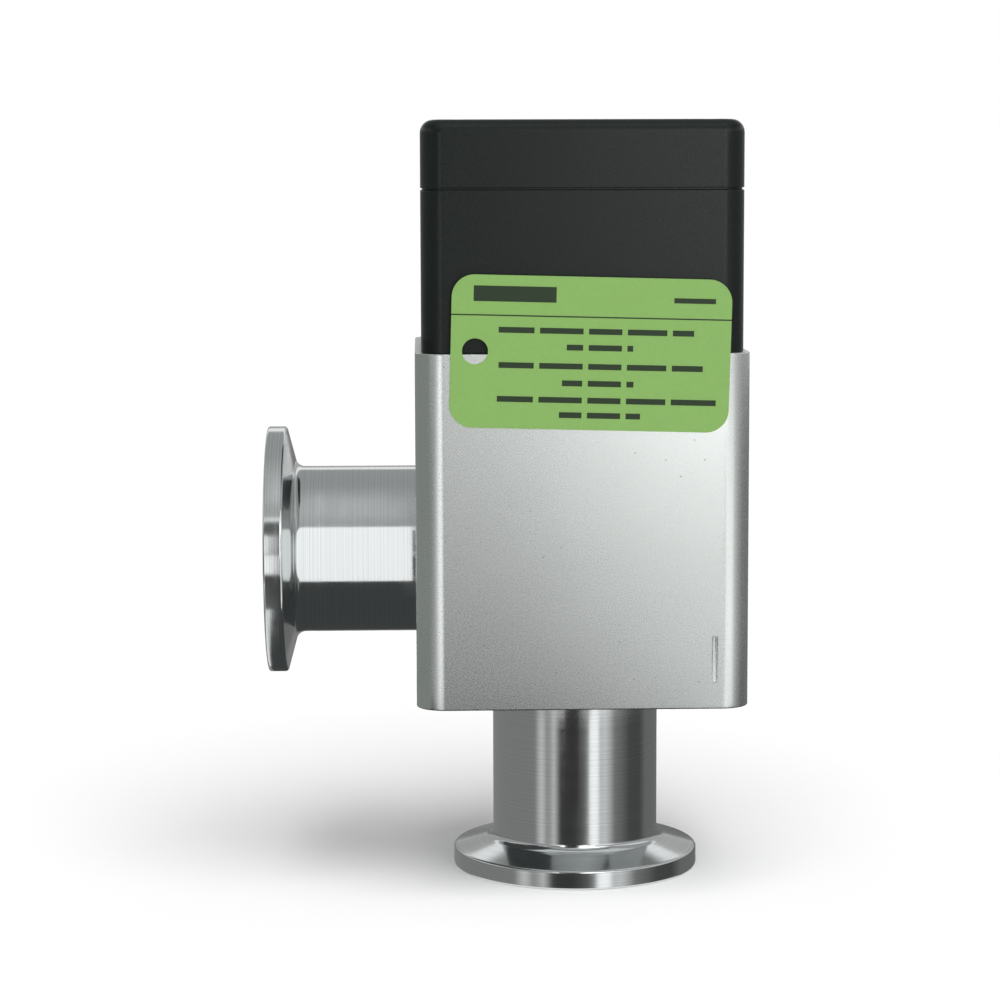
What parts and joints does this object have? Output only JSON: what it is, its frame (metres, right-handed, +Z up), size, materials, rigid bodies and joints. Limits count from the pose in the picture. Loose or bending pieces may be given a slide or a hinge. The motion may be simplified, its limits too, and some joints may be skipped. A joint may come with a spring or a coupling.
{
  "type": "vacuum angle valve",
  "caption": "Right-angle vacuum valve: clamp-flange ports at the side and below, square satin body, black pneumatic actuator, and a spring-closed, bellows-sealed valve plate.",
  "frame": {"origin": "centre of the bottom port's flange face", "axes": "+Z up along the valve stem, -X out of the side port, -Y out of the front face"},
  "size_m": [0.076, 0.0524, 0.1215],
  "materials": {
    "satin_aluminium": "satin, blasted and clear anodised",
    "turned_aluminium": "bright turned",
    "black_anodised": "satin black anodised",
    "stainless_steel": "bright",
    "zinc_plated_steel": "zinc plated",
    "spring_steel": "drawn wire",
    "bronze": "sintered",
    "seal_rubber": "smooth",
    "ptfe": "smooth",
    "red_plastic": "satin",
    "green_card": "coated card"
  },
  "bodies": {
    "casing": {"valve_body": "satin_aluminium", "side_port": "turned_aluminium", "bottom_port": "turned_aluminium", "bellows": "stainless_steel", "bellows_flange": "stainless_steel", "bonnet_seal": "seal_rubber", "guide_bush": "bronze", "rod_seal": "seal_rubber", "seal_retainer": "zinc_plated_steel", "cylinder_housing": "black_anodised", "closing_spring": "spring_steel", "top_cover": "black_anodised", "cover_seal": "seal_rubber", "cover_screws": "zinc_plated_steel", "inspection_card": "green_card"},
    "plunger": {"valve_plate": "stainless_steel", "plate_seal": "seal_rubber", "stem": "stainless_steel", "piston": "satin_aluminium", "piston_seal": "seal_rubber", "guide_ring": "ptfe", "piston_washer": "zinc_plated_steel", "piston_nut": "zinc_plated_steel", "indicator_pin": "red_plastic"}
  },
  "joints": [
    {"name": "valve_lift", "type": "slide", "parent": "casing", "child": "plunger", "axis": [0, 0, 1], "range_m": [0, 0.007], "stiffness_N_per_m": 5600, "springref_m": -0.019, "deforming": ["bellows", "closing_spring"]}
  ]
}
